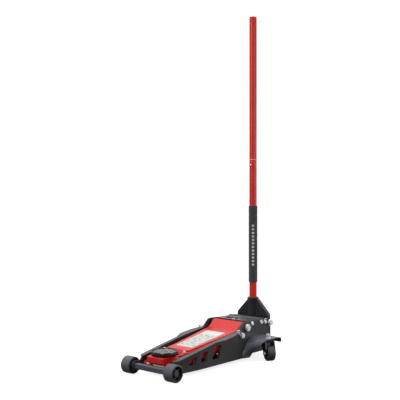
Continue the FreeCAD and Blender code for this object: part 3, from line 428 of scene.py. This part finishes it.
zinc = plating("bright zinc plate", (0.86, 0.87, 0.90), (0.66, 0.67, 0.70), 0.34, 0.50)
ground = plating("ground steel", (0.62, 0.62, 0.63), (0.48, 0.48, 0.49), 0.14, 0.30)
oxide = plating("dark oxide", (0.10, 0.10, 0.105), (0.05, 0.05, 0.055), 0.35, 0.50, 0.8)
dress(zinc, 0.0005, "main_shaft", "tie_rod_bolts", "cover_bolts", "hinge_bolts", "kingpins", "arm_pins",
      "tie_rod_pin", "unit_plugs", "handle_button", "caster_bolt_left", "caster_bolt_right")
dress(oxide, 0.0005, "saddle_bolt", "axle_rings", "shaft_spacers", "spring_anchors", "drive_cup",
      "release_spindle")

# The shaft's nuts share their node with their washers, which are black: they lie against the plate and
# reach further out than the nuts do.
nut_zinc, tree, shader, place = bare("zinc nut on a black washer")
x, y, z = split(tree, place)
low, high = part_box("shaft_nuts")
off_y = minus(tree, y, (low.y + high.y) / 2)
off_z = minus(tree, z, (low.z + high.z) / 2)
off = plus(tree, times(tree, off_y, off_y), times(tree, off_z, off_z))
past_nut = spread(tree, off, 0.00021, 0.00022)
by_plate = spread(tree, add(tree, "Math", operation="ABSOLUTE", I0=x), 0.0946, 0.0944)
on_washer = times(tree, past_nut, by_plate)
nut_tone = tint(tree, spread(tree, mottle(tree, place, 0.004, 6.0), 0.35, 0.7),
                (0.88, 0.89, 0.92), (0.70, 0.71, 0.74))
coat(tree, shader, tint(tree, on_washer, nut_tone, (0.022, 0.022, 0.024)),
     spread(tree, mottle(tree, place, 0.003, 4.0), 0.3, 0.7, 0.30, 0.46),
     mottle(tree, place, 0.0012, 4.0), 0.00003, 0.5)
tree.links.new(minus(tree, 1.0, on_washer), shader.inputs["Metallic"])
dress(nut_zinc, 0.0005, "shaft_nuts")


# ---- lift arm ----
# Two thick cheeks under a bent top plate, joined by a bush, a cross tube and the lever that the ram pushes.
# The whole weldment is sprayed in signal red gloss and is brightest on the plate and its ramp. A small zinc
# screw closes the boss on each side of the plate.
def upright(place):
    """Stands a turned piece up at a place, with its axis along Z."""
    return Matrix.Translation(place) @ Matrix.Rotation(-math.pi / 2, 4, "Y")


red = paint("signal red gloss", (0.58, 0.012, 0.007), (0.52, 0.009, 0.006), 0.30, (0.80, 0.16, 0.11),
            0.00003, 0.0022, 0.012)
dress(red, 0.0008, "arm_cheeks", "arm_top_plate", "arm_cross_tube", "arm_lever", "arm_shaft_bush", "tie_rods")
dress(ground, 0.0004, "lever_roller")
screw_outline = [(0.0, 0.0), (0.0, 0.0062), (0.0012, 0.0062), (0.0012, 0.0050), (0.0052, 0.0050),
                 (0.0060, 0.0042), (0.0060, 0.0026), (0.0030, 0.0022), (0.0030, 0.0)]
for side, tag in [(1, "left"), (-1, "right")]:
    settle("boss_screw_" + tag, turned(screw_outline, 24), upright((side * 0.0515, -0.184, 0.0800)),
           zinc, "lift_arm", "zinc", width=0.0002)


# ---- arm label ----
# A film label stuck on the arm's plate, off-white, with a plain header and cells of small generic marks in
# grey, green and pink. It is slightly glossier than the paint round it, with a scuffed print.
def inside(tree, value, low, high, soft=0.0006):
    """1 where a value lies between low and high, with a soft border."""
    past_low = spread(tree, value, low - soft, low + soft)
    return times(tree, past_low, spread(tree, value, high + soft, high - soft))


def in_cell(tree, value, start, size):
    """How far along its cell a value is, from 0 to 1."""
    return add(tree, "Math", operation="FRACT", I0=times(tree, minus(tree, value, start), 1.0 / size))


label_film, tree, shader, place = bare("label film")
across, along = split(tree, place)[:2]
half_field, field_front, field_rear = 0.0405, -0.1180, 0.0230
field = times(tree, inside(tree, along, field_front, field_rear),
              inside(tree, across, -half_field, half_field))
cell_x, cell_y = in_cell(tree, across, -half_field, 0.0270), in_cell(tree, along, field_front, 0.0235)
cell = times(tree, inside(tree, cell_x, 0.05, 0.95, 0.02), inside(tree, cell_y, 0.06, 0.94, 0.02))
cell_border = minus(tree, 1.0, cell)
picture = times(tree, inside(tree, cell_x, 0.18, 0.82, 0.03), inside(tree, cell_y, 0.22, 0.80, 0.03))
dots = spread(tree, add(tree, "TexVoronoi", Vector=place, Scale=170.0), 0.36, 0.30)
blots = add(tree, "Math", operation="MAXIMUM", I0=dots,
            I1=spread(tree, mottle(tree, place, 0.006, 1.0), 0.52, 0.56))
hue = add(tree, "TexNoise", Vector=place, Scale=42.0, Detail=0.0)
ink = tint(tree, spread(tree, hue, 0.46, 0.50), (0.07, 0.15, 0.14), (0.42, 0.10, 0.13))
ink = tint(tree, spread(tree, hue, 0.58, 0.61), ink, (0.16, 0.18, 0.20))
paper_white = tint(tree, spread(tree, mottle(tree, place, 0.03), 0.3, 0.7),
                   (0.60, 0.62, 0.60), (0.54, 0.57, 0.55))
inked = times(tree, times(tree, field, picture), spread(tree, blots, 0.0, 1.0, 0.12, 0.9))
print_on = tint(tree, inked, paper_white, ink)
print_on = tint(tree, times(tree, field, times(tree, cell_border, 0.75)), print_on, (0.12, 0.18, 0.17))
header = times(tree, inside(tree, along, 0.034, 0.058), inside(tree, across, -0.040, 0.040))
print_on = tint(tree, times(tree, header, 0.5), print_on, (0.70, 0.66, 0.50))
front_line = times(tree, inside(tree, along, -0.1255, -0.1235), inside(tree, across, -0.038, 0.038))
print_on = tint(tree, times(tree, front_line, 0.85), print_on, (0.05, 0.07, 0.07))
rear_line = times(tree, inside(tree, along, 0.0275, 0.0295), inside(tree, across, -0.043, 0.043))
print_on = tint(tree, times(tree, rear_line, 0.5), print_on, (0.12, 0.15, 0.15))
coat(tree, shader, print_on, spread(tree, mottle(tree, place, 0.012, 5.0), 0.3, 0.7, 0.22, 0.40),
     mottle(tree, place, 0.006, 3.0), 0.00015, 0.3)
dress(label_film, 0.0001, "arm_label")


# ---- saddle bracket ----
# A red cast-iron carrier that hangs on two pins between the arm's ears and is bored for the saddle's stem.
# Its edges are well rounded, and the sand grain of the casting shows through the paint.
red_casting = paint("red paint on casting", (0.55, 0.011, 0.008), (0.47, 0.009, 0.006), 0.36,
                    (0.72, 0.12, 0.08), 0.00016, 0.0018, 0.012)
dress(red_casting, 0.0016, "saddle_bracket")


# ---- saddle ----
# A round cast cup that turns on its stem, with eight raised teeth on the rim and a ribbed rubber pad inside.
# The cup is black with the coat scraped off the teeth. The pad is grey on its ribs, and its grooves are
# painted near-black as the shade that falls in them.
cup_black = paint("black saddle coat", (0.007, 0.007, 0.008), (0.013, 0.013, 0.014), 0.42,
                  (0.16, 0.16, 0.155), 0.00014, 0.0014, 0.16)
low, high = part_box("saddle_cup")
middle = (low + high) / 2
stand = upright((middle.x, middle.y, low.z))
floor_at, top_at, under_at = 0.034, high.z - low.z, 0.027
tooth_pitch, half_tooth, gap_depth = 45.0, 14.5, 0.0030


def teeth(a, r, turn):
    """Lowers the rim between its eight teeth."""
    if a < top_at - 0.0022 or r < 0.043:
        return 0.0
    share = (math.degrees(turn) + 12) % tooth_pitch
    gap = min(max((abs(share - tooth_pitch / 2) - half_tooth) / 2.0, 0.0), 1.0)
    return -gap_depth * gap


cup_outline = [(0.0, 0.0), (0.0, 0.0128), (0.0012, 0.0139), (under_at - 0.001, 0.0139), (under_at, 0.0150),
               (under_at, 0.0462), (under_at + 0.0008, 0.0492), (under_at + 0.0028, 0.0512),
               (under_at + 0.0055, 0.0520), (under_at + 0.0060, 0.0525), (top_at - 0.0044, 0.0525),
               (top_at - 0.0010, 0.0522), (top_at, 0.0514), (top_at, 0.0482), (top_at - 0.0010, 0.0471),
               (top_at - 0.0046, 0.0466), (top_at - 0.0056, 0.0450), (floor_at + 0.0012, 0.0443),
               (floor_at, 0.0430), (floor_at, 0.0)]
settle("saddle_cup_finished", turned(cup_outline, 180, teeth), stand,
       cup_black, "saddle", "saddle_iron", "saddle_cup", width=0.0004)

pad_rubber, tree, shader, place = bare("saddle pad rubber")
# Everything below the rib tops, the grooves most of all, is painted near-black as shade in the recesses.
sunk = spread(tree, split(tree, place)[0], 0.0375, 0.0395, 1.0, 0.0)
rubber_tone = tint(tree, spread(tree, mottle(tree, place, 0.006, 6.0), 0.3, 0.7),
                   (0.15, 0.145, 0.13), (0.24, 0.23, 0.205))
groove_shade = times(tree, sunk, spread(tree, mottle(tree, place, 0.004, 6.0), 0.3, 0.65, 0.6, 0.95))
coat(tree, shader, tint(tree, groove_shade, rubber_tone, (0.022, 0.022, 0.021)),
     spread(tree, mottle(tree, place, 0.004, 4.0), 0.3, 0.7, 0.55, 0.8),
     mottle(tree, place, 0.0006, 6.0), 0.00010, 0.8)
shader.inputs["Sheen Weight"].default_value = 0.15
pad_outline = [(0.0342, 0.0122), (0.0342, 0.0416), (0.0382, 0.0420), (0.0398, 0.0412)]
for r in (0.0384, 0.0322, 0.0260, 0.0198):
    pad_outline += [(0.0398, r + 0.0008), (0.0386, r), (0.0372, r - 0.0004), (0.0372, r - 0.0022),
                    (0.0386, r - 0.0026), (0.0398, r - 0.0034)]
pad_outline += [(0.0398, 0.0150), (0.0390, 0.0136), (0.0370, 0.0124)]
settle("saddle_pad_ribbed", turned(pad_outline, 96), stand,
       pad_rubber, "saddle", "pad_rubber", "saddle_pad", width=0.0003)


# ---- rear cover ----
# A pressed cover bolted between the side plates, with a hand window, a stiffening rib and turned-down
# skirts. A strip with four small tabs under it is folded down along its front edge.
dress(graphite, 0.0010, "rear_cover")
lip_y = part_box("rear_cover")[0].y + 0.0012
lip_thick = 0.0022
shape = bmesh.new()
block(shape, (0.146, lip_thick, 0.0105), Matrix.Translation((0, lip_y, 0.1478)))
for k in range(4):
    block(shape, (0.020, lip_thick, 0.0040), Matrix.Translation((-0.054 + 0.036 * k, lip_y, 0.1410)))
settle("cover_front_lip", shape, Matrix.Identity(4), graphite, "chassis", "frame_paint", width=0.0005)


# ---- power unit ----
# The hydraulic unit under the cover: a black-painted iron casting, the drawn oil tank, the cylinder and its
# head, and the ground ram. The casting keeps its sand grain, and the ram and gland are bright. A weld bead
# runs over the top of the tank's rear end.
casting = paint("black paint on casting", (0.010, 0.010, 0.011), (0.018, 0.018, 0.019), 0.5,
                (0.07, 0.07, 0.07), 0.00025, 0.0018, 0.18)
gloss_black = paint("black tank gloss", (0.008, 0.008, 0.009), (0.013, 0.013, 0.014), 0.29,
                    (0.06, 0.06, 0.06))
dress(casting, 0.0018, "unit_casting", "tank_head")
dress(gloss_black, 0.0012, "oil_tank")
dress(ground, 0.0006, "ram_cylinder", "ram", "pump_gland", "pump_plunger", "pump_roller")
low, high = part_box("oil_tank")
tank_radius = 0.0442
ring = []
for step in range(73):
    turn = math.radians(140) - math.radians(100) * step / 72
    ring.append((tank_radius * math.cos(turn), high.y, (low.z + high.z) / 2 + tank_radius * math.sin(turn)))
welded("tank_weld", ring, 0.0036, casting, "chassis", "cast_iron")


# ---- springs ----
# Two long extension springs draw the arm's lever back, and a short one pushes the pump plunger out.
# They are cold wound from dark spring wire, with the end coils turned in towards the middle.
spring_wire = plating("spring wire", (0.20, 0.20, 0.21), (0.10, 0.10, 0.11), 0.30, 0.45)


def coil(name, fixed, moving, radius, wire, turns, node):
    """A wound spring between two points along Y."""
    steps = int(turns * 26)
    start, run = Vector(fixed), Vector(moving) - Vector(fixed)
    hook = Vector((0.5 * radius, 0, 0))
    points = []
    for k in range(steps + 1):
        turn = math.tau * turns * k / steps
        out = radius * Vector((math.cos(turn), 0, math.sin(turn)))
        points.append(start + run * (0.06 + 0.88 * k / steps) + out)
    points = [start + hook] + points + [start + run + hook]
    stations = []
    for k, here in enumerate(points):
        along = (points[min(k + 1, len(points) - 1)] - points[max(k - 1, 0)]).normalized()
        side = along.cross(run).normalized()
        stations.append((here, side, along.cross(side), wire / 2))
    shape = bmesh.new()
    rod(shape, stations)
    piece = settle(name, shape, Matrix.Identity(4), spring_wire, None, "spring_steel")
    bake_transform(piece)
    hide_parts(node)


low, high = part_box("return_springs")
spring_x, spring_z = high.x - 0.007, (low.z + high.z) / 2
for side, tag in [(1, "left"), (-1, "right")]:
    coil("return_spring_" + tag, (side * spring_x, high.y + 0.003, spring_z),
         (side * spring_x, low.y - 0.002, spring_z), 0.006, 0.002, 18,
         "return_springs")
low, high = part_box("plunger_spring")
spring_x, spring_z = (low.x + high.x) / 2, (low.z + high.z) / 2
coil("plunger_spring_wound", (spring_x, low.y, spring_z), (spring_x, high.y, spring_z), 0.009, 0.0018, 4,
     "plunger_spring")


# ---- caster brackets ----
# A fender-like pressing each side, welded to the side plate down its foot and turned down at the rear.
# They are coated in the bar's slate, and a black strip on the rear lip is painted shade for the lip's front
# face.
dress(slate, 0.0010, "caster_bracket_left", "caster_bracket_right")
black = paint("black yoke coat", (0.012, 0.012, 0.016), (0.018, 0.018, 0.023), 0.30,
              (0.07, 0.07, 0.08), dust=0.04)
# The black strip stands for the shade on each rear lip's front face.
lip_shade_size = (0.0562, 0.0062, 0.0182)
for side, tag in [(1, "left"), (-1, "right")]:
    shape = bmesh.new()
    block(shape, lip_shade_size, Matrix.Translation((side * 0.1615, 0.2595, 0.0815)))
    settle("bracket_lip_" + tag, shape, Matrix.Identity(4), black, "chassis", "black_paint", width=0.0022)


# ---- casters ----
# A pressed fork on a ball race under each bracket, with a black nylon wheel that turns on a zinc bolt.
# The wheels are moulded, with a split line round the tread and a ring of ribs on each face.
dress(black, 0.0009, "caster_fork_left", "caster_fork_right")
nylon, tree, shader, place = bare("black nylon")
nylon_tone = tint(tree, spread(tree, mottle(tree, place, 0.007, 6.0), 0.35, 0.7),
                  (0.016, 0.016, 0.017), (0.045, 0.044, 0.043))
coat(tree, shader, nylon_tone, spread(tree, mottle(tree, place, 0.005, 5.0), 0.3, 0.7, 0.42, 0.66),
     mottle(tree, place, 0.0009, 5.0), 0.00010, 0.7)
half_wheel = 0.016
face_line = [(half_wheel, 0.0270), (half_wheel - 0.0008, 0.0240), (half_wheel - 0.0040, 0.0232),
             (half_wheel - 0.0040, 0.0118), (half_wheel - 0.0010, 0.0108), (half_wheel, 0.0100),
             (half_wheel, 0.0052)]
tread_side = [(0.0004, 0.0310), (0.0100, 0.0310), (0.0132, 0.0304), (0.0152, 0.0289)]
wheel_outline = [(-a, r) for a, r in face_line[::-1]] + [(-a, r) for a, r in tread_side[::-1]]
wheel_outline += [(0.0, 0.0307)] + tread_side + face_line
joints = {joint["name"]: joint for joint in frame["joints"]}
ribs, rib_size = 8, (0.0036, 0.0026, 0.0116)
for tag in ("left", "right"):
    joint = joints["caster_spin_" + tag]
    shape = turned(wheel_outline, 84)
    for side in (1, -1):
        for k in range(ribs):
            turn = Matrix.Rotation(math.radians(360 / ribs * k), 4, "X")
            block(shape, rib_size, turn @ Matrix.Translation((side * 0.0128, 0, 0.0174)))
    along_bolt = Vector(joint["axis"]).normalized().to_track_quat("X", "Z").to_matrix().to_4x4()
    settle("caster_wheel_moulded_" + tag, shape, Matrix.Translation(joint["pos_m"]) @ along_bolt,
           nylon, "caster_wheel_" + tag, "black_plastic", "caster_wheel_" + tag, width=0.0004)


# ---- handle socket ----
# A pressed yoke on the big hinge bolts, with the socket tube welded up its middle and the pump roller
# behind. It is black with a satin coat, the weld beads show down both sides of the tube, and a loose collar
# closes the tube's mouth round the handle.
dress(black, 0.0010, "handle_yoke", "socket_tube", "pump_lugs", "yoke_fasteners")
handle_y = 0.320
tube_low, tube_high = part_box("socket_tube")
for side, tag in [(1, "left"), (-1, "right")]:
    bead = [(side * 0.0203, 0.3163, z) for z in (tube_low.z + 0.006, tube_high.z - 0.012)]
    welded("socket_weld_" + tag, bead, 0.0042, black, "handle_socket", "black_paint")
collar_outline = [(0.0, 0.0227), (0.0, 0.0240), (0.0010, 0.0246), (0.0105, 0.0246), (0.0116, 0.0242),
                  (0.0120, 0.0232), (0.0120, 0.0166), (0.0078, 0.0166), (0.0078, 0.0227)]
settle("socket_collar", turned(collar_outline, 64), upright((0, handle_y, tube_high.z - 0.0075)),
       black, "handle_socket", "black_paint", width=0.0004)


# ---- handle ----
# Two steel pipes in signal red, the upper one spigoted into the lower and held by a spring button.
# A domed red cap closes the top, and a thin bare ring shows where the two pipes meet.
pipe_red = paint("signal red on pipe", (0.62, 0.017, 0.007), (0.56, 0.013, 0.006), 0.40, (0.72, 0.10, 0.06),
                 0.00001, 0.004, 0.012)
dress(pipe_red, 0.0004, "handle_lower", "handle_upper")
cap_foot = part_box("handle_cap")[0].z
cap_outline = [(0.0, 0.0), (0.0, 0.0130), (0.0141, 0.0130), (0.0141, 0.0158), (0.0160, 0.0158),
               (0.0172, 0.0152), (0.0179, 0.0138), (0.0181, 0.0110), (0.0181, 0.0)]
settle("handle_cap_domed", turned(cap_outline, 48), upright((0, handle_y, cap_foot)),
       pipe_red, "handle", "red_paint", "handle_cap", width=0.0003)
pipes_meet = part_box("handle_lower")[1].z
ring_outline = [(0.0, 0.0138), (0.0, 0.0157), (0.0004, 0.01612), (0.0012, 0.01612), (0.0016, 0.0157),
                (0.0016, 0.0138)]
settle("joint_ring", turned(ring_outline, 48), upright((0, handle_y, pipes_meet - 0.0006)),
       zinc, "handle", "zinc")


# ---- grip sleeve ----
# A foam rubber sleeve drawn over the lower pipe and printed with a plain column of white bars. Its ends are
# rolled in a little and its skin is matt and finely pored.
low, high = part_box("handle_sleeve")
middle = (low + high) / 2
grip, tree, shader, place = bare("grip foam")
x, y, z = split(tree, place)
foam_tone = tint(tree, spread(tree, mottle(tree, place, 0.02, 5.0), 0.3, 0.7),
                 (0.020, 0.021, 0.023), (0.032, 0.033, 0.036))
# The bars run up the side that faces the saddle, turned 37 degrees towards the left side of the jack.
print_way = math.radians(-126.9)
across = minus(tree, times(tree, y, math.cos(print_way)), times(tree, z, math.sin(print_way)))
toward = plus(tree, times(tree, y, math.sin(print_way)), times(tree, z, math.cos(print_way)))
column = times(tree, inside(tree, across, -0.0048, 0.0048, 0.0003), spread(tree, toward, 0.0, 0.001))
print_foot, print_head, bar_pitch = 0.069, 0.251, 0.0152
bars = times(tree, inside(tree, in_cell(tree, x, print_foot, bar_pitch), 0.22, 0.78, 0.03),
             inside(tree, x, print_foot, print_head, 0.0003))
worn_print = spread(tree, mottle(tree, place, 0.0016, 4.0), 0.30, 0.45, 0.3, 0.9)
foam_tone = tint(tree, times(tree, times(tree, column, bars), worn_print), foam_tone, (0.62, 0.64, 0.66))
pores = add(tree, "TexVoronoi", Vector=place, Scale=1500.0)
coat(tree, shader, foam_tone, spread(tree, mottle(tree, place, 0.006, 4.0), 0.3, 0.7, 0.60, 0.82),
     pores, 0.00012, 0.6)
shader.inputs["Sheen Weight"].default_value = 0.2
length, sleeve_radius = high.z - low.z, 0.0191
sleeve_outline = [(0.0, 0.0162), (0.0, 0.0180), (0.0006, 0.0187), (0.0020, sleeve_radius)]
for k in range(1, 40):
    wave = 0.00012 * math.sin(k * 1.9) + 0.00008 * math.sin(k * 4.3)
    sleeve_outline.append((length * k / 40, sleeve_radius + wave))
sleeve_outline += [(length - 0.0020, sleeve_radius), (length - 0.0006, 0.0187), (length, 0.0180),
                   (length, 0.0162)]
settle("grip_sleeve", turned(sleeve_outline, 64), upright((middle.x, middle.y, low.z)),
       grip, "handle", "grip_rubber", "handle_sleeve", width=0.0003)


# ---- studio ----
# A plain white floor and backdrop under a large overhead panel, with smaller panels in front, at the side
# and behind, and a sky that is brighter overhead and on the side away from the camera. None of it belongs
# to the jack.
world = bpy.data.worlds.new("studio air")
world.use_nodes = True
tree = world.node_tree
x, y, z = split(tree, tree.nodes.new("ShaderNodeTexCoord").outputs["Generated"])
left_back = minus(tree, times(tree, y, 0.55), times(tree, x, 0.75))
glow = spread(tree, left_back, -0.7, 0.7, 0.30, 0.95)
glow = times(tree, glow, spread(tree, z, -0.12, 0.05, 0.12, 1.0))
top_glow = spread(tree, z, 0.45, 0.95, 0.0, 0.5)
tree.links.new(plus(tree, glow, top_glow), tree.nodes["Background"].inputs["Strength"])
tree.nodes["Background"].inputs["Color"].default_value = (1, 1, 1, 1)
bpy.context.scene.world = world
bpy.context.scene.view_settings.view_transform = "Standard"


def panel(name, place, aim, width, height, power):
    """A soft rectangular lamp at place that shines at aim."""
    lamp = bpy.data.lights.new(name, "AREA")
    lamp.shape = "RECTANGLE"
    lamp.size = width
    lamp.size_y = height
    lamp.energy = power
    holder = bpy.data.objects.new(name, lamp)
    bpy.context.scene.collection.objects.link(holder)
    holder.location = place
    holder.rotation_euler = (Vector(aim) - Vector(place)).to_track_quat("-Z", "Y").to_euler()


panel("overhead", (-0.4, -0.4, 3.2), (0, 0, 0), 2.2, 2.2, 50)
panel("front panel", (-0.6, -3.4, 1.5), (0, 0, 0.3), 1.6, 1.4, 40)
panel("side panel", (3.3, -0.4, 1.3), (0, 0, 0.2), 1.6, 1.2, 26)
panel("rear side panel", (2.8, 3.3, 0.7), (0, 0, 0.1), 2.2, 1.4, 40)


def set_piece(name, shape, glow):
    """A white piece of the set that only the camera sees, so that it throws no light on the jack."""
    mesh = bpy.data.meshes.new(name)
    shape.to_mesh(mesh)
    shape.free()
    piece = bpy.data.objects.new(name, mesh)
    bpy.context.scene.collection.objects.link(piece)
    white = bpy.data.materials.new(name + " white")
    white.use_nodes = True
    shader = white.node_tree.nodes["Principled BSDF"]
    shader.inputs["Base Color"].default_value = (0.4, 0.4, 0.4, 1)
    shader.inputs["Roughness"].default_value = 1.0
    shader.inputs["Specular IOR Level"].default_value = 0.0
    shader.inputs["Emission Color"].default_value = (1, 1, 1, 1)
    shader.inputs["Emission Strength"].default_value = glow
    mesh.materials.append(white)
    piece.visible_diffuse = False
    piece.visible_glossy = False
    return piece


shape = bmesh.new()
bmesh.ops.create_grid(shape, x_segments=12, y_segments=12, size=22)
set_piece("floor", shape, 0.80)

wall_radius, facets = 21, 48
shape = bmesh.new()
rings = []
for rise in (-0.5, 0.0, 8.0, 20.0):
    turns = [math.tau * k / facets for k in range(facets)]
    rings.append([shape.verts.new((wall_radius * math.cos(turn), wall_radius * math.sin(turn), rise))
                  for turn in turns])
for one, two in zip(rings, rings[1:]):
    skin(shape, one, two)
backdrop = set_piece("backdrop", shape, 1.0)
backdrop.visible_shadow = False

lens = bpy.data.cameras.new("camera")
lens.lens = 72.0
lens.sensor_width = 36.0
lens.shift_y = -0.0375
camera = bpy.data.objects.new("camera", lens)
bpy.context.scene.collection.objects.link(camera)
camera.location = (2.0848, -2.4559, 0.7185)
camera.rotation_euler = (math.radians(90), 0, math.radians(40.7))
bpy.context.scene.camera = camera
